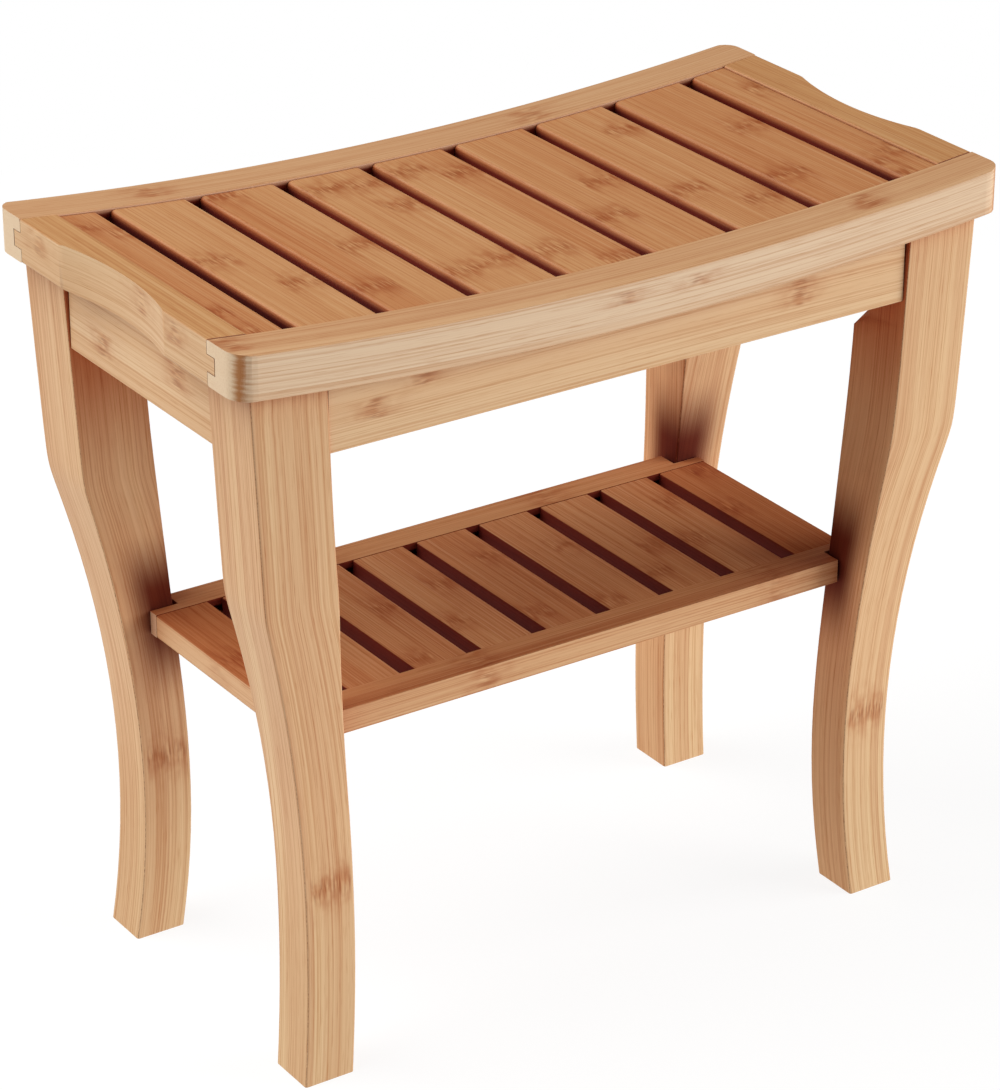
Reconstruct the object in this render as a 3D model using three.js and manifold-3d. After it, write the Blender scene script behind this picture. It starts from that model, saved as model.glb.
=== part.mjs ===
// Slatted shower stool: a dished seat with hand-holds at both ends, four sabre legs, aprons between
// the legs and a slatted shelf below.
// Millimetres. +X runs along the stool, +Y to its back, +Z up. The origin is on the floor, under the
// middle of the seat.
import * as THREE from 'three';
import Module from 'manifold-3d';

const wasm = await Module();
wasm.setup();

// ---- driving dimensions ------------------------------------------------------------------------
const GAP = 0.3;               // glue line left between pieces that touch
const ARRIS = 1.2;             // eased edge of every board

const SEAT_LENGTH = 490;
const SEAT_DEPTH = 258;
const SEAT_END_HEIGHT = 450;   // top of the rails at the two ends
const SEAT_DISH = 13;          // how far the middle of the seat lies below its ends
const SEAT_CORNER = 12;        // plan radius of the four seat corners

const RAIL_HEIGHT = 25.4;
const RAIL_WIDTH = 29.2;       // front and back rails
const END_RAIL_WIDTH = 23.2;
const TONGUE_LENGTH = 7.5;     // tongue of the end rails, let into the long rails
const TONGUE_TOP = 8.1;        // depth of the tongue's upper face below the rail top
const TONGUE_HEIGHT = 9.3;
const HOLD_DEPTH = 8.2;        // hand-hold scooped out of each end rail
const HOLD_RADIUS = 200;

const SLAT_PITCH = 55.5;
const SLAT_GAP = 8.3;
const SLAT_COUNT = 9;          // the first and last are half slats
const SLAT_THICKNESS = 10.5;
const SLAT_DROP = 1.3;         // slat top below rail top
const SLAT_EDGE = 2.4;
const SLAT_JOINT_EDGE = 0.5;   // edge of the half slats where they meet the end rails
const BATTEN_WIDTH = 12;
const BATTEN_HEIGHT = 12;

const APRON_BOTTOM = 379;
const APRON_THICKNESS = 18;
const APRON_FRONT = 117.9;     // outer face of the front and back aprons, from the middle
const APRON_END = 230;         // outer face of the end aprons, from the middle
const APRON_HALF_LENGTH = 185.8;
const APRON_HALF_DEPTH = 76.1;

// The legs are sawn to shape in both planes. "Sweep" radii shape the curve below the knee.
const KNEE_HEIGHT = 297;
const KNEE_EASE = 1.6;
const OUT_X = { waist: 198.3, waistHeight: 92, sweep: 715, shoulder: 227, lean: 0.05 };
const OUT_Y = { waist: 105, waistHeight: 110, sweep: 1200, shoulder: 119.4, lean: 0.01 };
const IN_X = { waist: 167.6, waistHeight: 92, sweep: 880, straightFrom: 168, lean: 0.03 };
const IN_X_SHOULDER = { x: 185.1, height: 340 };
const IN_Y = { waist: 74, waistHeight: 110, sweep: 1210, lean: 0.0095 };
const LEG_CUT = 12.5;          // inner top corner planed off for the corner block
const LEG_CUT_START = 352;
const LEG_CUT_RUNOUT = 8;

const BLOCK_BOTTOM = 384;
const BLOCK_HEIGHT = 25;
const BLOCK_THICKNESS = 20;
const BOLT_DIAMETER = 6;
const BOLT_IN_LEG = 32;
const WASHER_DIAMETER = 18;
const WASHER_THICKNESS = 1.6;
const NUT_ACROSS_CORNERS = 11.5;
const NUT_THICKNESS = 5;

const SHELF_TOP = 211.6;
const SHELF_THICKNESS = 14;
const SHELF_HALF_LENGTH = 189.8;
const SHELF_HALF_DEPTH = 87.3;
const SHELF_EDGE = 1;          // rounding of the shelf boards
const SHELF_RAIL_WIDTH = 19.9;
const SHELF_NOTCH_X = 172;     // the shelf corners are notched round the legs
const SHELF_NOTCH_Y = 74;
const SHELF_PITCH = 43.4;
const SHELF_GAP = 9.1;
const SHELF_DROP = 0.2;
const SHELF_TONGUE = 5;
const SHELF_TONGUE_HEIGHT = 5;
const DOWEL_DIAMETER = 8;

const halfLength = SEAT_LENGTH / 2;
const halfDepth = SEAT_DEPTH / 2;
const railInner = halfDepth - RAIL_WIDTH;
const endRailInner = halfLength - END_RAIL_WIDTH;

// ---- curves ------------------------------------------------------------------------------------
const dishRadius = (halfLength ** 2 + SEAT_DISH ** 2) / (2 * SEAT_DISH);
const seatTop = (x) => SEAT_END_HEIGHT - SEAT_DISH + dishRadius - Math.sqrt(dishRadius ** 2 - x * x);
const railBottom = (x) => seatTop(x) - RAIL_HEIGHT;

const sweep = (z, from, radius) => (z - from) ** 2 / (2 * radius);
const easedMin = (a, b) => (a + b - Math.sqrt((a - b) ** 2 + KNEE_EASE ** 2)) / 2;

function legOuter(z, p) {
  return easedMin(p.waist + sweep(z, p.waistHeight, p.sweep), p.shoulder + p.lean * (z - KNEE_HEIGHT));
}

function legInnerX(z) {
  const curved = Math.min(z, IN_X.straightFrom);
  const slope = (IN_X.straightFrom - IN_X.waistHeight) / IN_X.sweep;
  const radius = z < IN_X.waistHeight ? 0.8 * IN_X.sweep : IN_X.sweep;
  const below = IN_X.waist + sweep(curved, IN_X.waistHeight, radius) + slope * (z - curved);
  return easedMin(below, IN_X_SHOULDER.x + IN_X.lean * (z - IN_X_SHOULDER.height));
}

function legInnerY(z) {
  const rise = z - IN_Y.waistHeight;
  return IN_Y.waist + (rise < 0 ? sweep(z, IN_Y.waistHeight, IN_Y.sweep) : IN_Y.lean * rise);
}

// ---- small solid-modelling helpers -------------------------------------------------------------
// A closed body through matching rings of points; flat(point) lays an end ring out in two axes.
function loft(rings, flat) {
  const n = rings[0].length;
  const verts = rings.flat(2);
  const tris = [];
  for (let i = 0; i + 1 < rings.length; i += 1) {
    for (let j = 0; j < n; j += 1) {
      const a = i * n + j;
      const b = i * n + ((j + 1) % n);
      tris.push(a, b, b + n, a, b + n, a + n);
    }
  }
  const last = (rings.length - 1) * n;
  for (const [a, b, c] of cap(rings[0], flat)) tris.push(a, c, b);
  for (const [a, b, c] of cap(rings[rings.length - 1], flat)) tris.push(last + a, last + b, last + c);
  if (signedVolume(verts, tris) < 0) {
    for (let i = 0; i < tris.length; i += 3) [tris[i + 1], tris[i + 2]] = [tris[i + 2], tris[i + 1]];
  }
  return new wasm.Manifold(new wasm.Mesh({
    numProp: 3, vertProperties: new Float32Array(verts), triVerts: new Uint32Array(tris),
  }));
}

// Triangles that fill a ring, turned the same way round as the ring itself.
function cap(ring, flat) {
  const outline = ring.map((p) => new THREE.Vector2(...flat(p)));
  const same = THREE.ShapeUtils.area(outline) > 0;
  return THREE.ShapeUtils.triangulateShape(outline, []).map(([a, b, c]) => {
    const positive = THREE.ShapeUtils.area([outline[a], outline[b], outline[c]]) > 0;
    return positive === same ? [a, b, c] : [a, c, b];
  });
}

function signedVolume(v, tris) {
  let sum = 0;
  const a = new THREE.Vector3();
  const b = new THREE.Vector3();
  const c = new THREE.Vector3();
  for (let i = 0; i < tris.length; i += 3) {
    a.fromArray(v, 3 * tris[i]);
    b.fromArray(v, 3 * tris[i + 1]);
    c.fromArray(v, 3 * tris[i + 2]);
    sum += a.dot(b.cross(c));
  }
  return sum;
}

// Rectangle outline, counter-clockwise, with its four corners rounded.
function rounded(a0, a1, b0, b1, radius, steps = 2) {
  const [left, right] = [Math.min(a0, a1) + radius, Math.max(a0, a1) - radius];
  const [low, high] = [Math.min(b0, b1) + radius, Math.max(b0, b1) - radius];
  const corners = [[right, high, 0], [left, high, 90], [left, low, 180], [right, low, 270]];
  return corners.flatMap(([ca, cb, start]) => {
    return Array.from({ length: steps + 1 }, (_, i) => {
      const t = THREE.MathUtils.degToRad(start + (90 * i) / steps);
      return [ca + radius * Math.cos(t), cb + radius * Math.sin(t)];
    });
  });
}

// Splits the edges of an outline that run along its first axis, so that it can be bent.
function subdivided(outline, longest) {
  return outline.flatMap(([a, b], i) => {
    const [c, d] = outline[(i + 1) % outline.length];
    const parts = Math.max(1, Math.ceil(Math.abs(c - a) / longest));
    return Array.from({ length: parts }, (_, k) => [a + ((c - a) * k) / parts, b + ((d - b) * k) / parts]);
  });
}

const spread = (from, to, parts) => Array.from({ length: parts + 1 }, (_, i) => from + ((to - from) * i) / parts);
const alongX = (x0, x1, parts, ringAt) => loft(
  spread(x0, x1, parts).map((x) => ringAt(x).map(([y, z]) => [x, y, z])), ([, y, z]) => [y, z]);
const alongY = (y0, y1, outline) => loft(
  [y0, y1].map((y) => outline.map(([x, z]) => [x, y, z])), ([x, , z]) => [x, z]);
const alongZ = (z0, z1, outline) => loft(
  [z0, z1].map((z) => outline.map(([x, y]) => [x, y, z])), ([x, y]) => [x, y]);
const block = (x0, x1, y0, y1, z0, z1) => alongZ(z0, z1, [[x0, y0], [x1, y0], [x1, y1], [x0, y1]]);

// Bar that follows the dished seat; its section is given as y and depth below the rail top.
const dishedBar = (x0, x1, parts, section) => alongX(
  x0, x1, parts, (x) => section.map(([y, down]) => [y, seatTop(x) - down]));
// Cross board that follows the dish; its outline is given as x and depth below the rail top.
const dishedBoard = (y0, y1, outline) => alongY(
  y0, y1, subdivided(outline, 16).map(([x, down]) => [x, seatTop(x) - down]));

// Round (or six-sided) rod between two points at one height.
function rod([x0, y0], [x1, y1], z, radius, sides = 20) {
  const along = new THREE.Vector2(x1 - x0, y1 - y0).normalize();
  const turn = Array.from({ length: sides }, (_, i) => (2 * Math.PI * i) / sides);
  const ring = (x, y) => turn.map((t) => [
    x - along.y * radius * Math.cos(t), y + along.x * radius * Math.cos(t), z + radius * Math.sin(t)]);
  const flat = ([x, y, h]) => [along.x * y - along.y * x, h];
  return loft([ring(x0, y0), ring(x1, y1)], flat);
}

// ---- finished pieces ---------------------------------------------------------------------------
const COLOURS = { rail: 0xd8ac7c, slat: 0xbd8351, leg: 0xcf9e6e, shelf: 0xb0713f, steel: 0xb8bbbf };
const stool = new THREE.Group();
stool.name = 'shower_stool';

function add(name, solid, colour) {
  const source = solid.getMesh();
  const geometry = new THREE.BufferGeometry();
  geometry.setAttribute('position', new THREE.BufferAttribute(Float32Array.from(source.vertProperties), 3));
  geometry.setIndex(new THREE.BufferAttribute(Uint32Array.from(source.triVerts), 1));
  geometry.computeVertexNormals();
  const steel = colour === COLOURS.steel;
  const finish = { color: colour, roughness: steel ? 0.35 : 0.55, metalness: steel ? 1 : 0 };
  const mesh = new THREE.Mesh(geometry, new THREE.MeshStandardMaterial(finish));
  mesh.name = name;
  stool.add(mesh);
}

const ENDS = [['left', -1], ['right', 1]];
const FACES = [['front', -1], ['back', 1]];

// ---- seat frame --------------------------------------------------------------------------------
function addLongRails() {
  const plan = rounded(-halfLength, halfLength, -halfDepth, halfDepth, SEAT_CORNER, 6);
  const envelope = alongZ(APRON_BOTTOM, SEAT_END_HEIGHT + 10, plan);
  for (const [face, s] of FACES) {
    const section = rounded(s * railInner, s * halfDepth, 0, RAIL_HEIGHT, ARRIS);
    let rail = dishedBar(-halfLength - 1, halfLength + 1, 36, section).intersect(envelope);
    const top = TONGUE_TOP - GAP;
    const bottom = TONGUE_TOP + TONGUE_HEIGHT + GAP;
    const deep = s * (railInner + TONGUE_LENGTH + GAP);
    const open = s * (railInner - 1);
    for (const [, e] of ENDS) {
      const slot = [[open, top], [deep, top], [deep, bottom], [open, bottom]];
      const inner = endRailInner - GAP;
      rail = rail.subtract(dishedBar(e * inner, e * (halfLength + 2), 2, slot));
    }
    add(`rail_${face}`, rail, COLOURS.rail);
  }
}

// The hand-hold is a vertical scoop that leaves the middle of the end rail narrower.
function handHold(e) {
  const centre = halfLength - HOLD_DEPTH + HOLD_RADIUS;
  const reach = 19;
  const arc = spread(-reach, reach, 20).map((degrees) => {
    const t = THREE.MathUtils.degToRad(degrees);
    return [e * (centre - HOLD_RADIUS * Math.cos(t)), HOLD_RADIUS * Math.sin(t)];
  });
  const [far, side] = [e * (halfLength + 8), HOLD_RADIUS * Math.sin(THREE.MathUtils.degToRad(reach))];
  return alongZ(APRON_BOTTOM, SEAT_END_HEIGHT + 10, [...arc, [far, side], [far, -side]]);
}

function addEndRails() {
  const length = railInner - GAP;
  for (const [end, e] of ENDS) {
    const xs = [e * endRailInner, e * halfLength];
    const body = dishedBoard(-length, length, rounded(...xs, 0, RAIL_HEIGHT, ARRIS));
    const tongue = dishedBoard(-length - TONGUE_LENGTH, length + TONGUE_LENGTH, [
      [xs[0], TONGUE_TOP], [xs[1], TONGUE_TOP],
      [xs[1], TONGUE_TOP + TONGUE_HEIGHT], [xs[0], TONGUE_TOP + TONGUE_HEIGHT]]);
    add(`rail_${end}`, body.add(tongue).subtract(handHold(e)), COLOURS.rail);
  }
}

// ---- seat slats and what carries them ----------------------------------------------------------
// Section of a slat, eased more at its open edges than where a half slat meets an end rail.
function slatOutline(x0, x1) {
  const bottom = SLAT_DROP + SLAT_THICKNESS;
  const middle = (x0 + x1) / 2;
  const edgeAt = (x) => (Math.abs(x) > endRailInner - 1 ? SLAT_JOINT_EDGE : SLAT_EDGE);
  const side = (x) => rounded(x0, x1, SLAT_DROP, bottom, edgeAt(x), 3)
    .filter(([px]) => (px < middle) === (x < middle));
  const right = side(x1);
  const half = right.length / 2;
  return [...right.slice(0, half), ...side(x0), ...right.slice(half)];
}

function addSeatSlats() {
  const middle = (SLAT_COUNT - 1) / 2;
  const width = SLAT_PITCH - SLAT_GAP;
  const length = railInner - GAP;
  for (let i = 0; i < SLAT_COUNT; i += 1) {
    const centre = (i - middle) * SLAT_PITCH;
    const x0 = Math.max(centre - width / 2, GAP - endRailInner);
    const x1 = Math.min(centre + width / 2, endRailInner - GAP);
    add(`seat_slat_${i + 1}`, dishedBoard(-length, length, slatOutline(x0, x1)), COLOURS.slat);
  }
}

function addBattens() {
  const top = SLAT_DROP + SLAT_THICKNESS + GAP;
  const outer = railInner - GAP;
  for (const [face, s] of FACES) {
    const section = rounded(s * (outer - BATTEN_WIDTH), s * outer, top, top + BATTEN_HEIGHT, ARRIS, 1);
    add(`seat_batten_${face}`, dishedBar(GAP - endRailInner, endRailInner - GAP, 30, section), COLOURS.slat);
  }
}

// ---- aprons ------------------------------------------------------------------------------------
function addAprons() {
  for (const [face, s] of FACES) {
    const inner = s * (APRON_FRONT - APRON_THICKNESS);
    const outer = s * APRON_FRONT;
    const ring = (x) => rounded(inner, outer, APRON_BOTTOM, railBottom(x) - GAP, ARRIS);
    add(`apron_${face}`, alongX(-APRON_HALF_LENGTH, APRON_HALF_LENGTH, 28, ring), COLOURS.rail);
  }
  for (const [end, e] of ENDS) {
    const inner = e * (APRON_END - APRON_THICKNESS);
    const outer = e * APRON_END;
    const outline = [
      [inner, APRON_BOTTOM], [outer - e * ARRIS, APRON_BOTTOM], [outer, APRON_BOTTOM + ARRIS],
      [outer, railBottom(outer) - GAP], [inner, railBottom(inner) - GAP]];
    add(`apron_${end}`, alongY(-APRON_HALF_DEPTH, APRON_HALF_DEPTH, outline), COLOURS.rail);
  }
}

// ---- legs --------------------------------------------------------------------------------------
function legRing(z, e, s) {
  return rounded(
    e * legInnerX(z), e * legOuter(z, OUT_X), s * legInnerY(z), s * legOuter(z, OUT_Y), ARRIS);
}

function legHeights() {
  const below = spread(0, KNEE_HEIGHT - 13, 18);
  const knee = spread(KNEE_HEIGHT - 9, KNEE_HEIGHT + 9, 6);
  return [...below, ...knee, ...spread(320, railBottom(200) - 12, 4)];
}

// Everything on the inner side of a diagonal plane; it fades out downwards.
function legCornerCut(e, s) {
  const x = legInnerX(KNEE_HEIGHT + 80);
  const y = legInnerY(KNEE_HEIGHT + 80);
  const ring = (depth, z) => [
    [e * (x - 20), s * (y - 20), z], [e * (x + depth + 20), s * (y - 20), z],
    [e * (x - 20), s * (y + depth + 20), z]];
  const top = SEAT_END_HEIGHT;
  const runout = LEG_CUT_START + LEG_CUT_RUNOUT;
  return loft([ring(0, LEG_CUT_START), ring(LEG_CUT, runout), ring(LEG_CUT, top)], ([a, b]) => [a, b]);
}

// Point on the diagonal through the planed corner, at a distance from it (positive is into the leg).
function onDiagonal(e, s, distance) {
  const step = distance / Math.SQRT2;
  const x = legInnerX(KNEE_HEIGHT + 80) + LEG_CUT / 2 + step;
  const y = legInnerY(KNEE_HEIGHT + 80) + LEG_CUT / 2 + step;
  return [e * x, s * y];
}

const boltHeight = BLOCK_BOTTOM + BLOCK_HEIGHT / 2;
const shelfMiddle = SHELF_TOP - SHELF_THICKNESS / 2;
const dowelY = (SHELF_NOTCH_Y + SHELF_HALF_DEPTH) / 2;

function addLegs() {
  for (const [face, s] of FACES) {
    for (const [end, e] of ENDS) {
      const rings = legHeights().map((z) => legRing(z, e, s).map(([x, y]) => [x, y, z]));
      const crown = legRing(railBottom(200), e, s).map(([x, y]) => [x, y, railBottom(x) - GAP - 0.1]);
      const bolt = rod(onDiagonal(e, s, -20), onDiagonal(e, s, BOLT_IN_LEG + 1), boltHeight,
        BOLT_DIAMETER / 2 + GAP);
      const dowel = rod([e * (SHELF_NOTCH_X - 10), s * dowelY], [e * (SHELF_NOTCH_X + 17), s * dowelY],
        shelfMiddle, DOWEL_DIAMETER / 2 + GAP);
      const leg = loft([...rings, crown], ([x, y]) => [x, y])
        .subtract(legCornerCut(e, s)).subtract(bolt).subtract(dowel);
      add(`leg_${face}_${end}`, leg, COLOURS.leg);
    }
  }
}

// ---- corner blocks and bolts -------------------------------------------------------------------
function addCornerFixings() {
  const apronY = APRON_FRONT - APRON_THICKNESS - GAP;
  const apronX = APRON_END - APRON_THICKNESS - GAP;
  const [cx, cy] = onDiagonal(1, 1, -GAP);
  const near = cx + cy;
  const deep = near - BLOCK_THICKNESS * Math.SQRT2;
  for (const [face, s] of FACES) {
    for (const [end, e] of ENDS) {
      const corner = `${face}_${end}`;
      const plan = [[near - apronY, apronY], [apronX, near - apronX], [apronX, deep - apronX],
        [deep - apronY, apronY]].map(([x, y]) => [e * x, s * y]);
      const ring = (from, to, radius, sides) => rod(
        onDiagonal(e, s, from), onDiagonal(e, s, to), boltHeight, radius, sides);
      const bore = ring(-60, 20, BOLT_DIAMETER / 2 + GAP);
      const body = alongZ(BLOCK_BOTTOM, BLOCK_BOTTOM + BLOCK_HEIGHT, plan);
      const washerBack = -BLOCK_THICKNESS - 2 * GAP;
      const nutBack = washerBack - WASHER_THICKNESS - GAP;
      add(`corner_block_${corner}`, body.subtract(bore), COLOURS.rail);
      add(`corner_bolt_${corner}`, ring(nutBack - NUT_THICKNESS - 4, BOLT_IN_LEG, BOLT_DIAMETER / 2),
        COLOURS.steel);
      add(`corner_washer_${corner}`,
        ring(washerBack, washerBack - WASHER_THICKNESS, WASHER_DIAMETER / 2, 28).subtract(bore),
        COLOURS.steel);
      add(`corner_nut_${corner}`,
        ring(nutBack, nutBack - NUT_THICKNESS, NUT_ACROSS_CORNERS / 2, 6).subtract(bore), COLOURS.steel);
    }
  }
}

// ---- shelf -------------------------------------------------------------------------------------
const shelfInner = SHELF_HALF_DEPTH - SHELF_RAIL_WIDTH;
const shelfBottom = SHELF_TOP - SHELF_THICKNESS;

function addShelfRails() {
  for (const [face, s] of FACES) {
    const plan = [
      [-SHELF_HALF_LENGTH, shelfInner], [SHELF_HALF_LENGTH, shelfInner],
      [SHELF_HALF_LENGTH, SHELF_NOTCH_Y], [SHELF_NOTCH_X, SHELF_NOTCH_Y],
      [SHELF_NOTCH_X, SHELF_HALF_DEPTH], [-SHELF_NOTCH_X, SHELF_HALF_DEPTH],
      [-SHELF_NOTCH_X, SHELF_NOTCH_Y], [-SHELF_HALF_LENGTH, SHELF_NOTCH_Y],
    ].map(([x, y]) => [x, s * y]);
    const groove = block(-170, 170, s * (shelfInner - 1), s * (shelfInner + SHELF_TONGUE + GAP),
      shelfMiddle - SHELF_TONGUE_HEIGHT / 2 - GAP, shelfMiddle + SHELF_TONGUE_HEIGHT / 2 + GAP);
    let rail = alongZ(shelfBottom, SHELF_TOP, plan).subtract(groove);
    for (const [, e] of ENDS) {
      const hole = rod([e * (SHELF_NOTCH_X - 15), s * dowelY], [e * (SHELF_NOTCH_X + 5), s * dowelY],
        shelfMiddle, DOWEL_DIAMETER / 2 + GAP);
      rail = rail.subtract(hole);
      add(`shelf_dowel_${face}_${e < 0 ? 'left' : 'right'}`,
        rod([e * (SHELF_NOTCH_X - 14), s * dowelY], [e * (SHELF_NOTCH_X + 16), s * dowelY],
          shelfMiddle, DOWEL_DIAMETER / 2), COLOURS.rail);
    }
    add(`shelf_rail_${face}`, rail, COLOURS.shelf);
  }
}

function shelfSlat(x0, x1, tongue0, tongue1) {
  const length = shelfInner - GAP;
  const top = SHELF_TOP - SHELF_DROP;
  const body = alongY(-length, length, rounded(x0, x1, shelfBottom, top, SHELF_EDGE));
  return body.add(block(tongue0, tongue1, -length - SHELF_TONGUE, length + SHELF_TONGUE,
    shelfMiddle - SHELF_TONGUE_HEIGHT / 2, shelfMiddle + SHELF_TONGUE_HEIGHT / 2));
}

function addShelfSlats() {
  const width = SHELF_PITCH - SHELF_GAP;
  for (let i = 0; i < 7; i += 1) {
    const centre = (i - 3) * SHELF_PITCH;
    const [x0, x1] = [centre - width / 2, centre + width / 2];
    add(`shelf_slat_${i + 2}`, shelfSlat(x0, x1, x0 + 3, x1 - 3), COLOURS.shelf);
  }
  const inner = 3 * SHELF_PITCH + width / 2 + SHELF_GAP;
  add('shelf_slat_1', shelfSlat(-SHELF_HALF_LENGTH, -inner, -168, -inner - 2), COLOURS.shelf);
  add('shelf_slat_9', shelfSlat(inner, SHELF_HALF_LENGTH, inner + 2, 168), COLOURS.shelf);
}

addLongRails();
addEndRails();
addSeatSlats();
addBattens();
addAprons();
addLegs();
addCornerFixings();
addShelfRails();
addShelfSlats();

export default stool;
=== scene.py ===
import math
import random

import bpy
import numpy as np
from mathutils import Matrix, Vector

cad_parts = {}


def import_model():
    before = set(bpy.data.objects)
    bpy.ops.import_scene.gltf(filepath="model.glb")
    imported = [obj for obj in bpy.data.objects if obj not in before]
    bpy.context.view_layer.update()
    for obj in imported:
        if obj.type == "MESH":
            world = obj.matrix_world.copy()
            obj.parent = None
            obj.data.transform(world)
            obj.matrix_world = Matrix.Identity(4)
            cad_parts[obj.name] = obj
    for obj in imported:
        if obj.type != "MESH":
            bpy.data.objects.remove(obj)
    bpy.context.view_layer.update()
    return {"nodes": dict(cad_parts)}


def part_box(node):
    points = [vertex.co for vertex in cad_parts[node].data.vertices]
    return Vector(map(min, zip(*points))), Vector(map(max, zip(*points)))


# Looks of the slatted bamboo shower stool. Metres, +X along the stool, +Y to its back, +Z up.
# Lengths inside the bamboo shader are in mm. Colours are given as screen values, 0 to 255.

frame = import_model()

MM = 0.001
NODES = frame["nodes"]

# ---- camera, set at the reference view ----------------------------------------------------------
CAMERA_AIM = Vector((-0.0008, 0.0040, 0.2306))
CAMERA_AZIMUTH = math.radians(33.604)     # turned from +Y towards +X
CAMERA_ELEVATION = math.radians(25.567)   # looking down
CAMERA_DISTANCE = 2.3212
CAMERA_SENSOR = 36                        # mm, along the long side of the picture
CAMERA_LENS = 134.71                      # mm
CAMERA_REACH = 50


def add_camera():
    data = bpy.data.cameras.new("camera")
    data.sensor_width = CAMERA_SENSOR
    data.sensor_fit = "AUTO"
    data.lens = CAMERA_LENS
    data.clip_end = CAMERA_REACH
    camera = bpy.data.objects.new("camera", data)
    bpy.context.scene.collection.objects.link(camera)
    level = math.cos(CAMERA_ELEVATION)
    ahead = Vector((
        level * math.sin(CAMERA_AZIMUTH),
        level * math.cos(CAMERA_AZIMUTH),
        -math.sin(CAMERA_ELEVATION)))
    camera.location = CAMERA_AIM - CAMERA_DISTANCE * ahead
    camera.rotation_euler = (math.pi / 2 - CAMERA_ELEVATION, 0, -CAMERA_AZIMUTH)
    bpy.context.scene.camera = camera


# ---- shader building ----------------------------------------------------------------------------
def linear(red, green, blue):
    """A colour given as 0 to 255 screen values, as the linear RGBA that shaders take."""
    parts = [c / 255 for c in (red, green, blue)]
    return [p / 12.92 if p <= 0.04045 else ((p + 0.055) / 1.055) ** 2.4 for p in parts] + [1.0]


class Shader:
    """The node tree of one material. Each method adds a node and returns its output."""

    def __init__(self, name):
        self.material = bpy.data.materials.new(name)
        self.material.use_nodes = True
        self.tree = self.material.node_tree
        self.tree.nodes.clear()

    def feed(self, socket, value):
        if isinstance(value, bpy.types.NodeSocket):
            self.tree.links.new(value, socket)
        else:
            socket.default_value = value

    def node(self, kind, inputs=None, **settings):
        made = self.tree.nodes.new("ShaderNode" + kind)
        for key, value in settings.items():
            setattr(made, key, value)
        for key, value in (inputs or {}).items():
            self.feed(made.inputs[key], value)
        return made

    def math(self, operation, *values, clamp=False):
        made = self.node("Math", operation=operation, use_clamp=clamp)
        for socket, value in zip(made.inputs, values):
            self.feed(socket, value)
        return made.outputs[0]

    def chain(self, operation, values):
        total = values[0]
        for value in values[1:]:
            total = self.math(operation, total, value)
        return total

    def add(self, *values):
        return self.chain("ADD", values)

    def times(self, *values):
        return self.chain("MULTIPLY", values)

    def larger(self, *values):
        return self.chain("MAXIMUM", values)

    def less(self, a, b):
        return self.math("SUBTRACT", a, b)

    def ramp(self, value, low, high, to_low=0.0, to_high=1.0):
        """Smooth step of value between low and high, which may also run downwards."""
        made = self.node("MapRange", interpolation_type="SMOOTHSTEP")
        for socket, number in zip(made.inputs, (value, low, high, to_low, to_high)):
            self.feed(socket, number)
        return made.outputs[0]

    def bell(self, value, centre, width):
        """1 at the centre, falling off smoothly to either side."""
        distance = self.math("DIVIDE", self.less(value, centre), width)
        return self.math("EXPONENT", self.times(distance, distance, -1.0))

    def vector(self, x, y, z):
        return self.node("CombineXYZ", {0: x, 1: y, 2: z}).outputs[0]

    def split(self, vector):
        return list(self.node("SeparateXYZ", {0: vector}).outputs[:3])

    def noise(self, vector, detail=2.0, roughness=0.5, scale=1.0):
        """Noise from 0 to 1, of a period of about 1 / scale in each axis."""
        made = self.node("TexNoise", {
            "Vector": vector, "Scale": scale, "Detail": detail, "Roughness": roughness})
        return made.outputs[0]

    def uneven(self, noise, size):
        """Noise as a shift of up to half the size to either side."""
        return self.times(self.less(noise, 0.5), size)

    def white(self, vector):
        return self.node("TexWhiteNoise", {"Vector": vector}, noise_dimensions="3D").outputs[0]

    def mix(self, factor, a, b, blend="MIX"):
        made = self.node("Mix", data_type="RGBA", blend_type=blend, clamp_factor=True)
        for index, value in ((0, factor), (6, a), (7, b)):
            self.feed(made.inputs[index], value)
        return made.outputs[2]

    def multiply(self, colour, tint):
        return self.mix(1.0, colour, tint, "MULTIPLY")

    def tinted(self, factor, colour, tint):
        """The colour, multiplied by the tint as far as the factor says."""
        return self.mix(factor, colour, self.multiply(colour, tint))

    def blend(self, factor, a, b):
        made = self.node("Mix", data_type="FLOAT", clamp_factor=True)
        for index, value in ((0, factor), (2, a), (3, b)):
            self.feed(made.inputs[index], value)
        return made.outputs[0]

    def curve(self, value, points):
        """A smooth curve through (value, result) points, given in the units of value and result."""
        xs = [p[0] for p in points]
        ys = [p[1] for p in points]
        x_span = max(xs) - min(xs)
        y_span = max(max(ys) - min(ys), 1e-6)
        made = self.node("FloatCurve")
        made.mapping.extend = "HORIZONTAL"
        knots = made.mapping.curves[0]
        for _ in range(len(points) - 2):
            knots.points.new(0.5, 0.5)
        for knot, (x, y) in zip(knots.points, sorted(points)):
            knot.location = ((x - min(xs)) / x_span, (y - min(ys)) / y_span)
            knot.handle_type = "AUTO"
        made.mapping.update()
        place = self.math("DIVIDE", self.less(value, min(xs)), x_span, clamp=True)
        self.feed(made.inputs["Value"], place)
        return self.add(self.times(made.outputs[0], y_span), min(ys))

    def finish(self, **inputs):
        """Principled surface with these inputs, keyed by socket name with _ for a space."""
        named = {key.replace("_", " "): value for key, value in inputs.items()}
        surface = self.node("BsdfPrincipled", named)
        output = self.node("OutputMaterial")
        self.tree.links.new(surface.outputs[0], output.inputs["Surface"])
        return self.material


# ---- measured outlines --------------------------------------------------------------------------
WHOLE_SECTION = 8    # a place with fewer points than this isn't a whole section
OUTLINE_POINTS = 17


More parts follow.
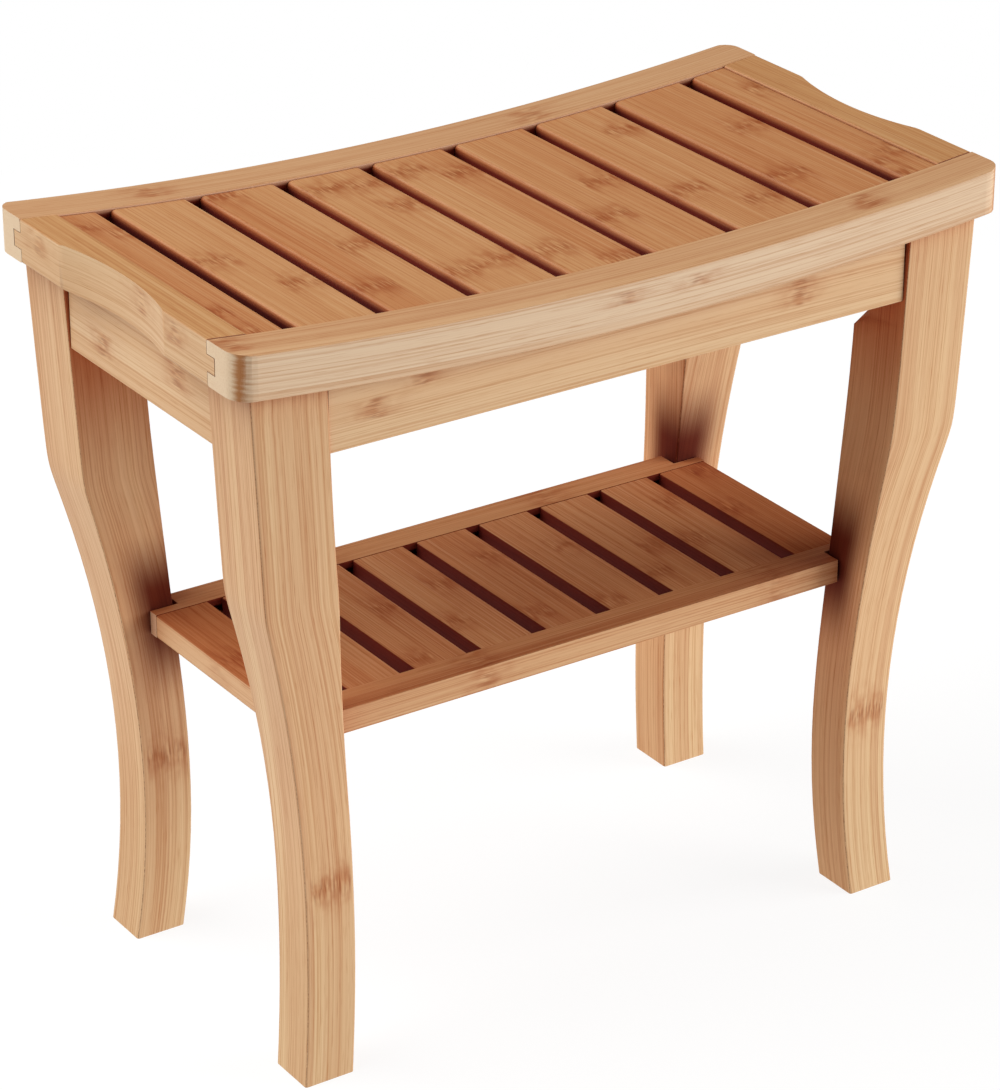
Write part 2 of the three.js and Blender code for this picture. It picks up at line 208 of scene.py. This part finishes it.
def rings(node, axis):
    """The node's points in mm, grouped by their place along an axis, for places with a whole section."""
    mesh = NODES[node].data
    points = np.empty(3 * len(mesh.vertices), np.float32)
    mesh.vertices.foreach_get("co", points)
    points = np.unique(points.reshape(-1, 3).round(5), axis=0) / MM
    places = np.round(points[:, axis], 1)
    found = {}
    for place in np.unique(places):
        ring = points[places == place]
        if len(ring) >= WHOLE_SECTION:
            found[float(place)] = ring
    return found


def outline(node, axis, across, side):
    """Points (place along the axis, outermost place across it) of one side of a node."""
    pick = max if side > 0 else min
    found = sorted(rings(node, axis).items())
    return thinned([(place, float(pick(ring[:, across]))) for place, ring in found])


def thinned(points):
    """At most OUTLINE_POINTS of the points, evenly picked, with both ends."""
    if len(points) <= OUTLINE_POINTS:
        return points
    step = (len(points) - 1) / (OUTLINE_POINTS - 1)
    return [points[round(i * step)] for i in range(OUTLINE_POINTS)]


DISH = outline("rail_front", 0, 2, 1)    # the top line of the seat


# ---- bamboo -------------------------------------------------------------------------------------
# Each family of boards: colours of its paler and ruddier strips on the faces that look up
# (flat-pressed) and on its sides (edge grain), the strip widths in mm, how strongly the strips
# differ, and how dark the fibre lines are. Where the upward colours are darker and ruddier, that
# is partly the flat-pressed face and partly painted shade for the weaker light from above.
FAMILIES = {
    "rail": {"top": ((216, 173, 128), (201, 150, 107)), "side": ((235, 207, 175), (223, 184, 146)),
             "strips": (9.7, 6.3), "contrast": 0.55, "lines": 0.42},
    "end_rail": {"top": ((205, 154, 102), (186, 129, 80)), "side": ((227, 193, 151), (216, 171, 126)),
                 "strips": (11.6, 12.7), "contrast": 0.55, "lines": 0.42},
    "apron": {"top": ((234, 200, 158), (222, 178, 132)), "side": ((234, 200, 158), (222, 178, 132)),
              "strips": (11.6, 12.7), "contrast": 0.55, "lines": 0.42},
    "slat": {"top": ((207, 156, 106), (191, 126, 78)), "side": ((207, 156, 106), (191, 126, 78)),
             "strips": (23.6, 5.3), "contrast": 0.7, "lines": 0.40},
    "leg": {"top": ((231, 189, 142), (212, 155, 109)), "side": ((232, 193, 147), (213, 162, 118)),
            "strips": (5.6, 9.5), "contrast": 0.5, "lines": 0.50},
    "shelf": {"top": ((200, 144, 97), (180, 113, 70)), "side": ((219, 174, 129), (201, 146, 101)),
              "strips": (10.0, 6.8), "contrast": 0.6, "lines": 0.50},
}

# Periods of the patterns in mm, along the grain and across it.
DRIFT = (170, 38)        # slow change of tone over a board
BANDS = (260, 3.4)       # bands inside a strip
FIBRES = (220, 0.95)     # fibre bundles
FLECKS = (18, 0.7)       # short flecks, and the dots of end grain
WANDER = (160, 40)       # how the glue lines stray
RAGGED = (40, 3.0)       # how a node mark shifts from fibre to fibre
DASHES = (15, 1.3)       # dashes in a node mark
CLOUDS = (11, 6)         # blotches round a node mark
CHIPS = (14, 5)          # worn places on the eased edges
LAYERS = (50, 50, 1.5)   # along X, Y and Z: the level streaks of a burnt edge

# Shares of the slow drift and of the bands in the tone of the wood.
DRIFT_SHARE = 0.55
BAND_SHARE = 0.75

# Half lengths in mm of a node mark and of the stain round it, and their strengths.
MARK_LENGTH = 5.6
STAIN_LENGTH = 14
STAIN_STRENGTH = 0.80
DARK_DASH_STRENGTH = 0.62
PALE_DASH_STRENGTH = 0.25

# Colours that show in places.
DARK_DASH = linear(150, 82, 42)
PALE_DASH = linear(236, 192, 140)
BETWEEN_FIBRES = linear(252, 226, 184)
WORN = linear(236, 206, 166)
END_GRAIN = linear(232, 206, 172)

# Tints, which multiply the colour of the wood; several of them are painted shade.
FIBRE_TINT = linear(214, 172, 134)
STAIN_TINT = linear(206, 144, 98)
RAIL_BURNT_TINT = linear(214, 168, 128)
LEG_BURNT_TINT = linear(160, 106, 68)
GAP_SHADE_TINT = linear(150, 68, 30)            # painted shade on the sides of the slats and rails, down in the gaps
END_SLAT_TINT = linear(226, 196, 176)     # tops of the first and last slat of the shelf
INNER_SHADE_TINT = linear(255, 236, 226)        # painted shade on the faces of the legs towards the middle of the stool
UNDER_SEAT_SHADE_TINT = linear(226, 176, 148)   # deeper painted shade on the same faces just under the seat
AT_SHELF_SHADE_TINT = linear(120, 60, 34)       # and darkest painted shade where the shelf meets them
FOOT_TINT = linear(246, 252, 255)
NEAR_SHADE_TINT = linear(231, 182, 164)         # painted shade where another board stands close
DEEP_SHADE_TINT = linear(150, 84, 56)           # and deeper painted shade inside a joint

# A face's normal along an axis: how large a part counts as lying on that face.
ON_FACE = (0.45, 0.85)
ON_FLAT_FACE = (0.55, 0.85)

ROOM = 0.10              # metres within which another board counts as close, for the painted shade
ROOM_SAMPLES = 4
BUMP_STRENGTH = 0.35
BUMP_HEIGHT = 0.00012    # metres
GLOSS = 0.2


class Bamboo(Shader):
    """Glued bamboo strips, varnished. grain is the axis (0, 1 or 2) that the fibres follow."""

    def __init__(self, name, family, grain, seed):
        super().__init__(name)
        self.look = FAMILIES[family]
        self.random = random.Random(seed)
        self.grain = grain
        place = self.node("TexCoord").outputs["Object"]
        scaled = self.node("VectorMath", {0: place, "Scale": 1 / MM}, operation="SCALE")
        self.place = self.split(scaled.outputs[0])
        self.facing = self.split(self.node("NewGeometry").outputs["Normal"])
        self.normal = [self.math("ABSOLUTE", part) for part in self.facing]
        self.shift = [self.random.uniform(-400, 400) for _ in range(3)]
        # On each face the pattern ignores the distance along that face's normal, so that the grain
        # stays in long lines where a face was sawn or scooped out of line with the fibres.
        self.keep = [
            1.0 if axis == grain else self.ramp(self.normal[axis], *ON_FLAT_FACE, 1.0, 0.0)
            for axis in range(3)]
        self.marks = []
        self.tints = []
        self.near_shade_strength = 1.0

    def straighten(self, axis, along, points):
        """Measures the place on an axis from a curved outline, so that the grain follows it."""
        self.place[axis] = self.less(self.place[axis], self.curve(self.place[along], points))

    def stretched(self, along, across):
        """Coordinates with one unit per given length in mm, along and across the grain."""
        parts = []
        for axis in range(3):
            period = along if axis == self.grain else across
            place = self.times(self.place[axis], self.keep[axis], 1 / period)
            parts.append(self.add(place, self.shift[axis] / period))
        return self.vector(*parts)

    def pattern(self, periods, **settings):
        return self.noise(self.stretched(*periods), **settings)

    # -- tone of the strips, 0 for pale to 1 for ruddy

    def strips(self):
        """A tone for each glued strip."""
        widths = list(self.look["strips"])
        cells = []
        for axis in range(3):
            if axis == self.grain:
                cells.append(self.random.random())
            else:
                scaled = self.add(
                    self.times(self.place[axis], self.keep[axis], 1 / widths.pop(0)),
                    self.random.uniform(0, 9), self.uneven(self.pattern(WANDER), 0.05))
                cells.append(self.math("FLOOR", scaled))
        return self.white(self.vector(*cells))

    def halves(self, axis, middle, low_tone, high_tone):
        """Tones of a board made of two wide strips."""
        second = self.math("GREATER_THAN", self.place[axis], middle)
        return self.blend(second, low_tone, high_tone)

    # -- what is asked for before the surface is made

    def node_mark(self, along, across, width, axis, strength=1.0, depth=None):
        """Where the cane had a node: a dark speckled band. along is its place on the grain, across
        and width its place and width on the given axis. With a depth axis, it shows only on the
        faces that lie square to that axis."""
        place = self.add(self.place[self.grain], self.uneven(self.pattern(RAGGED), 6))
        edge = self.math("ABSOLUTE", self.less(self.place[axis], across))
        inside = self.ramp(edge, width / 2 - 1.5, width / 2 + 1.0, 1.0, 0.0)
        on_face = 1.0 if depth is None else self.ramp(self.normal[depth], 0.5, 0.8)
        self.marks.append([
            self.times(self.bell(place, along, length), inside, strength, on_face)
            for length in (MARK_LENGTH, STAIN_LENGTH)])

    def tint(self, factor, tint):
        """Multiplies the wood by a tint, most often a painted shade; where it does, the varnish is
        duller too.
        """
        self.tints.append((factor, tint))

    # -- layers of the surface, from the wood outwards

    def strip_colours(self):
        # Upward faces take the top colours: partly the pressed face, partly painted shade from above.
        looking_up = self.ramp(self.normal[2], 0.35, 0.75)
        return [
            self.mix(looking_up, linear(*self.look["side"][kind]), linear(*self.look["top"][kind]))
            for kind in (0, 1)]

    def toned(self, tone, tone_shift, pale, ruddy):
        contrast = self.look["contrast"]
        ruddiness = self.add(
            self.times(tone, contrast),
            self.times(self.pattern(DRIFT, detail=1.0), DRIFT_SHARE),
            self.times(self.pattern(BANDS, roughness=0.6), BAND_SHARE),
            0.5 * (1 - contrast - DRIFT_SHARE - BAND_SHARE) + tone_shift)
        return self.mix(ruddiness, pale, ruddy)

    def lined(self, colour, pale, fibres, flecks):
        """Fibre bundles: darker lines, some of them stronger, with paler wood between them."""
        depth = self.look["lines"]
        dark = self.add(
            self.times(self.ramp(fibres, 0.47, 0.66), depth),
            self.times(self.ramp(flecks, 0.58, 0.72), 0.6 * depth))
        colour = self.tinted(dark, colour, FIBRE_TINT)
        between = self.ramp(fibres, 0.30, 0.47, 0.5 * depth, 0.0)
        return self.mix(between, colour, self.mix(0.5, pale, BETWEEN_FIBRES))

    def marked(self, colour, mark, stain):
        """Node marks: dark and pale dashes in a blotchy stain."""
        dashes = self.pattern(DASHES, detail=1.0, roughness=0.6)
        dark = self.times(mark, self.ramp(dashes, 0.48, 0.60), DARK_DASH_STRENGTH)
        pale = self.times(mark, self.ramp(dashes, 0.46, 0.36), PALE_DASH_STRENGTH)
        blotches = self.ramp(self.pattern(CLOUDS), 0.25, 0.7)
        colour = self.tinted(self.times(stain, blotches, STAIN_STRENGTH), colour, STAIN_TINT)
        colour = self.mix(dark, colour, DARK_DASH)
        return self.mix(pale, colour, PALE_DASH)

    def worn(self, colour, edge):
        """Eased edges: the varnish is thin there, and some wear shows."""
        chipped = self.ramp(self.pattern(CHIPS, detail=3.0), 0.42, 0.66)
        return self.mix(self.times(edge, chipped, 0.30), colour, WORN)

    def sawn(self, colour, ruddy, flecks):
        """End grain: paler, with the cut fibres as dots."""
        cut = self.ramp(self.normal[self.grain], 0.60, 0.85)
        dots = self.ramp(flecks, 0.52, 0.70)
        end_grain = self.mix(self.times(dots, 0.35), END_GRAIN, ruddy)
        return self.mix(self.times(cut, 0.75), colour, end_grain)

    def burnt(self, colour, range_of_normals, tint):
        """Rounded upright corners: darker along their middle, in level streaks."""
        layers = [self.times(part, 1 / size) for part, size in zip(self.place, LAYERS)]
        streak = self.uneven(self.noise(self.vector(*layers), detail=1.0), 0.22)
        upright = self.add(self.larger(self.normal[0], self.normal[1]), streak)
        level = self.ramp(self.normal[2], 0.25, 0.12)
        factor = self.times(self.ramp(upright, *range_of_normals), level)
        return self.tinted(factor, colour, tint)

    def shaded(self, colour):
        """Painted shade in corners and joints: darker and ruddier where ambient occlusion finds another
        board close.
        """
        room = self.node("AmbientOcclusion", {"Distance": ROOM}, samples=ROOM_SAMPLES).outputs["AO"]
        near_shade_amount = self.times(self.ramp(room, 0.99, 0.42), self.near_shade_strength)
        near_shade_colour = self.multiply(colour, NEAR_SHADE_TINT)
        deep_shade_colour = self.multiply(near_shade_colour, DEEP_SHADE_TINT)
        return self.mix(self.ramp(room, 0.48, 0.12), self.mix(near_shade_amount, colour, near_shade_colour), deep_shade_colour)

    def surface(self, tone, tone_shift=0.0, burnt_edge=None, burnt_tint=RAIL_BURNT_TINT):
        """The finished material. burnt_edge is the range of normals over which a corner darkens."""
        fibres = self.pattern(FIBRES, roughness=0.65)
        flecks = self.pattern(FLECKS, detail=1.0, roughness=0.6)
        edge = self.ramp(self.larger(*self.normal), 0.90, 0.76)
        mark = 0.0
        pale, ruddy = self.strip_colours()
        colour = self.toned(tone, tone_shift, pale, ruddy)
        colour = self.lined(colour, pale, fibres, flecks)
        if self.marks:
            mark, stain = (self.larger(0.0, *parts) for parts in zip(*self.marks))
            colour = self.marked(colour, mark, stain)
        colour = self.worn(colour, edge)
        colour = self.sawn(colour, ruddy, flecks)
        if burnt_edge:
            colour = self.burnt(colour, burnt_edge, burnt_tint)
        dull = 0.0
        for factor, tint in self.tints:
            colour = self.tinted(factor, colour, tint)
            dull = self.add(dull, factor)
        colour = self.shaded(colour)

        height = self.add(self.times(fibres, 0.6), self.times(flecks, 0.4), self.times(mark, 0.8))
        bump = self.node("Bump", {
            "Strength": BUMP_STRENGTH, "Distance": BUMP_HEIGHT, "Height": height}).outputs[0]
        rough = self.add(
            0.40, self.times(fibres, 0.16), self.times(edge, 0.08), self.times(mark, 0.06),
            self.times(dull, 0.35))
        rough = self.math("MINIMUM", rough, 0.9)
        return self.finish(
            Base_Color=colour, Roughness=rough, Normal=bump, Specular_IOR_Level=GLOSS)


def give(node, material):
    slots = NODES[node].data.materials
    slots.clear()
    slots.append(material)


# ---- boards -------------------------------------------------------------------------------------
WHOLE_BOARD = 400     # mm, a mark as wide as this crosses the whole board


def towards_middle(made, face):
    """Signed normal of a front or back board, positive on its face towards the middle."""
    return made.times(made.facing[1], 1 if face == "front" else -1)


def seat_rails():
    top_marks = {
        "front": [(160, -114, 20), (-238, -111, 20)],
        "back": [(-158, 115, 18), (92, 112, 18)],
    }
    face_marks = {"front": (-9, 36), "back": (-120, 70)}
    for seed, face in enumerate(("front", "back"), 11):
        name = f"rail_{face}"
        made = Bamboo(name, "rail", 0, seed)
        made.straighten(2, 0, DISH)
        for along, across, width in top_marks[face]:
            made.node_mark(along, across, width, axis=1, strength=0.8, depth=2)
        for along in face_marks[face]:
            made.node_mark(along, -8, 8, axis=2, strength=0.7, depth=1)
        # Painted shade on the faces towards the middle, down in the gaps below the slat tops.
        inward = made.ramp(towards_middle(made, face), *ON_FACE)
        made.tint(made.times(inward, made.ramp(made.place[2], -1.0, -4.0)), GAP_SHADE_TINT)
        give(name, made.surface(made.strips(), burnt_edge=(0.96, 0.72)))
    places = {"left": (-67, -20, 80), "right": (-88, 12, 64)}
    for seed, end in enumerate(("left", "right"), 21):
        name = f"rail_{end}"
        made = Bamboo(name, "end_rail", 1, seed)
        made.straighten(2, 0, DISH)
        for along in places[end]:
            made.node_mark(along, -8, 14, axis=2, strength=0.6, depth=0)
        give(name, made.surface(made.strips(), tone_shift=-0.12))


# Strip tones (left half, right half) and node marks (place along, place across) of the seat slats.
# The ruddier tones of slats 6 to 8 are partly painted shade for the light falling off towards the
# right end of the seat.
SLATS = {
    1: ((0.95, 0.85), [(79, -233), (-63, -233), (64, -209), (-94, -211)]),
    2: ((0.35, 0.30), [(6, -177), (-41, -155)]),
    3: ((0.95, 0.35), [(95, -123), (-63, -123), (-5, -98)]),
    4: ((0.25, 0.30), [(78, -72), (-65, -74), (75, -38), (35, -55), (-60, -38)]),
    5: ((0.25, 0.90), [(80, -12), (-63, -12), (62, 11), (-95, 11)]),
    6: ((0.65, 0.70), [(6, 68), (-41, 44)]),
    7: ((0.60, 0.60), [(62, 120), (-69, 120), (-35, 99)]),
    8: ((1.0, 1.0), [(20, 176), (-52, 154)]),
    9: ((0.85, 0.75), [(-94, 208), (-63, 233), (-74, 198), (60, 226)]),
}


def slat_middle(name):
    """Middle of a slat along X and half its width, in mm."""
    low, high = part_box(name)
    return (low.x + high.x) / 2 / MM, (high.x - low.x) / 2 / MM


def seat_slats():
    for number, (tones, marks) in SLATS.items():
        name = f"seat_slat_{number}"
        middle, half = slat_middle(name)
        made = Bamboo(name, "slat", 1, 30 + number)
        made.straighten(2, 0, DISH)
        for along, across in marks:
            strip = middle + math.copysign(half / 2, across - middle)
            made.node_mark(along, strip, half, axis=0, strength=0.9)
        # Painted shade on the sides of the slat, down in the gaps.
        down = made.ramp(made.place[2], -2.6, -6.5)
        made.tint(made.times(made.ramp(made.normal[0], *ON_FACE), down), GAP_SHADE_TINT)
        give(name, made.surface(made.halves(0, middle, *tones)))
    for seed, face, mark in ((50, "front", 40), (51, "back", -50)):
        name = f"seat_batten_{face}"
        made = Bamboo(name, "slat", 0, seed)
        made.straighten(2, 0, DISH)
        made.node_mark(mark, 0, WHOLE_BOARD, axis=1, strength=0.8)
        give(name, made.surface(made.strips()))


def aprons():
    # Place along, height and width of each node mark.
    marks = {
        "front": [(-128, 411, 14), (-158, 398, 12), (114, 401, 16)],
        "back": [(-60, 404, 16), (135, 412, 14)],
        "left": [(-41, 405, 16), (40, 395, 14)],
        "right": [(-25, 398, 16), (50, 410, 14)],
    }
    for seed, (side, places) in enumerate(marks.items(), 60):
        name = f"apron_{side}"
        along_x = side in ("front", "back")
        made = Bamboo(name, "apron", 0 if along_x else 1, seed)
        # The aprons take only a quarter of the painted shade near other boards.
        made.near_shade_strength = 0.25
        for along, height, width in places:
            made.node_mark(along, height, width, axis=2, strength=0.7)
        give(name, made.surface(made.strips(), tone_shift=0.10 if along_x else 0.25))


# Ranges in mm over which the tints and painted shade of a leg come in: heights first, then depths into
# the leg.
UNDER_SEAT = (285, 385)
DOWN_TO_SHELF = (264, 222)
UP_TO_SHELF = (150, 200)
AT_FOOT = (180, 20)
INTO_LEG_X = (0, 22)
INTO_LEG_Y = (2, 20)


def tint_and_shade_leg(made, e, s):
    """Painted shade on the faces towards the middle, deeper under the seat and at the shelf, and a
    slight cool tint at the foot. e and s are the signs of X and Y at the leg's outer corner.
    """
    height = made.place[2]
    inner_x = made.ramp(made.times(made.facing[0], -e), *ON_FLAT_FACE)
    inner_y = made.ramp(made.times(made.facing[1], -s), *ON_FLAT_FACE)
    inner = made.larger(inner_x, inner_y)
    into_x = made.ramp(made.times(made.place[0], -e), *INTO_LEG_X)
    into_y = made.ramp(made.times(made.place[1], -s), *INTO_LEG_Y)
    shelf_shade = made.times(
        made.ramp(height, *DOWN_TO_SHELF), made.ramp(height, *UP_TO_SHELF),
        made.math("MINIMUM", into_x, into_y))
    # Painted shade: the inward faces, deeper under the seat, darkest where the shelf meets them.
    made.tint(made.times(inner_x, 0.8), INNER_SHADE_TINT)
    made.tint(made.times(inner, made.ramp(height, *UNDER_SEAT), 0.9), UNDER_SEAT_SHADE_TINT)
    made.tint(made.times(inner, shelf_shade), AT_SHELF_SHADE_TINT)
    made.tint(made.ramp(height, *AT_FOOT), FOOT_TINT)


def legs():
    # Height of each node mark, the axis across the faces it shows on, and its strength.
    marks = {
        "front_left": [(118, 1, 0.9), (262, 0, 0.5)],
        "front_right": [(118, 1, 0.8), (300, 0, 0.5)],
        "back_left": [(118, 1, 0.8), (240, 0, 0.5)],
        "back_right": [(118, 1, 0.6), (330, 0, 0.5)],
    }
    for count, (corner, places) in enumerate(marks.items()):
        name = f"leg_{corner}"
        e = 1 if corner.endswith("right") else -1
        s = 1 if corner.startswith("back") else -1
        made = Bamboo(name, "leg", 2, 70 + count)
        made.straighten(0, 2, outline(name, 2, 0, e))
        made.straighten(1, 2, outline(name, 2, 1, s))
        for height, facing, strength in places:
            made.node_mark(height, -e * 16, 26, axis=0, strength=strength, depth=facing)
        tint_and_shade_leg(made, e, s)
        give(name, made.surface(made.strips(), burnt_edge=(0.79, 0.70), burnt_tint=LEG_BURNT_TINT))
        block = Bamboo(f"corner_block_{corner}", "end_rail", 2, 80 + count)
        give(f"corner_block_{corner}", block.surface(block.strips()))
        dowel = Bamboo(f"shelf_dowel_{corner}", "leg", 0, 90 + count)
        give(f"shelf_dowel_{corner}", dowel.surface(dowel.strips()))


def shelf():
    for seed, face, strong, faint in ((100, "front", -70, 128), (101, "back", 80, -72)):
        name = f"shelf_rail_{face}"
        made = Bamboo(name, "shelf", 0, seed)
        made.node_mark(strong, 0, WHOLE_BOARD, axis=1, strength=0.7)
        made.node_mark(faint, 0, WHOLE_BOARD, axis=1, strength=0.5)
        # Painted shade on the face towards the middle.
        made.tint(made.ramp(towards_middle(made, face), *ON_FACE), GAP_SHADE_TINT)
        give(name, made.surface(made.strips()))
    for number in range(1, 10):
        name = f"shelf_slat_{number}"
        middle, half = slat_middle(name)
        made = Bamboo(name, "shelf", 1, 110 + number)
        for strip in (-1, 1):
            made.node_mark(
                made.random.uniform(-60, 60), middle + strip * half / 2, half, axis=0, strength=0.8)
        tones = (made.random.uniform(0.2, 0.9), made.random.uniform(0.2, 0.9))
        shift = 0.0
        side = made.normal[0]
        if number in (1, 9):
            # The end slats are pale, with the painted gap shade only on the side towards the next slat.
            tones = (0.2, 0.3)
            shift = -0.45
            side = made.times(made.facing[0], 1 if number == 1 else -1)
        # Painted shade on the sides, down in the gaps.
        made.tint(made.ramp(side, *ON_FACE), GAP_SHADE_TINT)
        if number in (1, 9):
            made.tint(made.ramp(made.normal[2], 0.4, 0.8), END_SLAT_TINT)
        give(name, made.surface(made.halves(0, middle, *tones), tone_shift=shift))


def fixings():
    made = Shader("fixing_steel")
    place = made.node("TexCoord").outputs["Object"]
    fine = made.noise(place, detail=3.0, scale=900.0)
    wide = made.noise(place, scale=120.0)
    colour = made.mix(made.ramp(wide, 0.35, 0.7), linear(205, 208, 212), linear(176, 178, 178))
    rough = made.add(0.26, made.times(fine, 0.22))
    bump = made.node("Bump", {"Strength": 0.3, "Distance": 0.00005, "Height": fine}).outputs[0]
    steel = made.finish(Base_Color=colour, Metallic=1.0, Roughness=rough, Normal=bump)
    for name in NODES:
        if name.startswith(("corner_bolt", "corner_washer", "corner_nut")):
            give(name, steel)


# ---- smooth shading without touching the meshes -------------------------------------------------
SHARP_ANGLE = math.radians(50)
SAME_POINT = 0.00001      # metres
FACE_WEIGHT = 60          # how much the larger faces lead the shading


def smoothing_group():
    """Geometry nodes: smooth faces, with the edges sharper than SHARP_ANGLE left sharp."""
    group = bpy.data.node_groups.new("smooth_by_angle", "GeometryNodeTree")
    group.interface.new_socket("Geometry", in_out="INPUT", socket_type="NodeSocketGeometry")
    group.interface.new_socket("Geometry", in_out="OUTPUT", socket_type="NodeSocketGeometry")
    start = group.nodes.new("NodeGroupInput")
    end = group.nodes.new("NodeGroupOutput")
    merge = group.nodes.new("GeometryNodeMergeByDistance")
    merge.inputs["Distance"].default_value = SAME_POINT
    smooth = group.nodes.new("GeometryNodeSetShadeSmooth")
    smooth.domain = "FACE"
    sharp = group.nodes.new("GeometryNodeSetShadeSmooth")
    sharp.domain = "EDGE"
    sharp.inputs["Shade Smooth"].default_value = False
    angle = group.nodes.new("GeometryNodeInputMeshEdgeAngle")
    wide = group.nodes.new("FunctionNodeCompare")
    wide.operation = "GREATER_THAN"
    wide.inputs[1].default_value = SHARP_ANGLE
    link = group.links.new
    link(start.outputs[0], merge.inputs["Geometry"])
    link(merge.outputs["Geometry"], smooth.inputs["Geometry"])
    link(smooth.outputs["Geometry"], sharp.inputs["Geometry"])
    link(angle.outputs["Unsigned Angle"], wide.inputs[0])
    link(wide.outputs[0], sharp.inputs["Selection"])
    link(sharp.outputs["Geometry"], end.inputs[0])
    return group


def smooth_all():
    group = smoothing_group()
    for obj in NODES.values():
        shade = obj.modifiers.new("smooth", "NODES")
        shade.node_group = group
        weighted = obj.modifiers.new("weighted", "WEIGHTED_NORMAL")
        weighted.keep_sharp = True
        weighted.weight = FACE_WEIGHT


# ---- studio -------------------------------------------------------------------------------------
AMBIENT = 0.12           # light from all round, against 1 for plain white
FLOOR_RADIUS = 1.3
FLOOR_SIDES = 96
FLOOR_GLOW = 0.88
LIT_POINT = Vector((0, 0, 0.25))
SOFTBOX_SIZE = 2.8


def stage():
    """A white floor that shines by itself, so that it stays white and shows hardly any shadow."""
    bpy.ops.mesh.primitive_circle_add(
        vertices=FLOOR_SIDES, radius=FLOOR_RADIUS, fill_type="NGON", location=(0, 0, 0))
    floor = bpy.context.object
    floor.name = "floor"
    floor.visible_shadow = False
    made = Shader("pale_floor")
    place = made.node("TexCoord").outputs["Object"]
    cloud = made.noise(place, scale=1.3)
    tint = made.mix(cloud, linear(104, 104, 104), linear(110, 110, 109))
    floor.data.materials.append(made.finish(
        Base_Color=tint, Roughness=0.9, Specular_IOR_Level=0.0, Emission_Color=(1, 1, 1, 1),
        Emission_Strength=FLOOR_GLOW))


def world():
    """White behind the stool, and a little soft light from all round on it."""
    sky = bpy.data.worlds.new("studio")
    sky.use_nodes = True
    tree = sky.node_tree
    back = tree.nodes["Background"]
    rays = tree.nodes.new("ShaderNodeLightPath")
    strength = tree.nodes.new("ShaderNodeMapRange")
    strength.inputs["To Min"].default_value = AMBIENT
    strength.inputs["To Max"].default_value = 1.0
    tree.links.new(rays.outputs["Is Camera Ray"], strength.inputs["Value"])
    tree.links.new(strength.outputs[0], back.inputs["Strength"])
    back.inputs["Color"].default_value = (1, 1, 1, 1)
    bpy.context.scene.world = sky


def softbox(name, azimuth, elevation, distance, power):
    """Square light aimed at the stool; azimuth is where it stands, turned from +Y towards +X."""
    data = bpy.data.lights.new(name, "AREA")
    data.shape = "SQUARE"
    data.size = SOFTBOX_SIZE
    data.energy = power
    light = bpy.data.objects.new(name, data)
    bpy.context.scene.collection.objects.link(light)
    turn = math.radians(azimuth)
    rise = math.radians(elevation)
    level = math.cos(rise)
    away = Vector((math.sin(turn) * level, math.cos(turn) * level, math.sin(rise)))
    light.location = LIT_POINT + distance * away
    light.rotation_euler = (-away).to_track_quat("-Z", "Y").to_euler()


add_camera()
seat_rails()
seat_slats()
aprons()
legs()
shelf()
fixings()
smooth_all()
stage()
world()
softbox("softbox_right", azimuth=125, elevation=16, distance=3.8, power=144)
softbox("softbox_left", azimuth=-62, elevation=47, distance=2.8, power=88)

scene = bpy.context.scene
scene.view_settings.view_transform = "Standard"
scene.view_settings.look = "None"
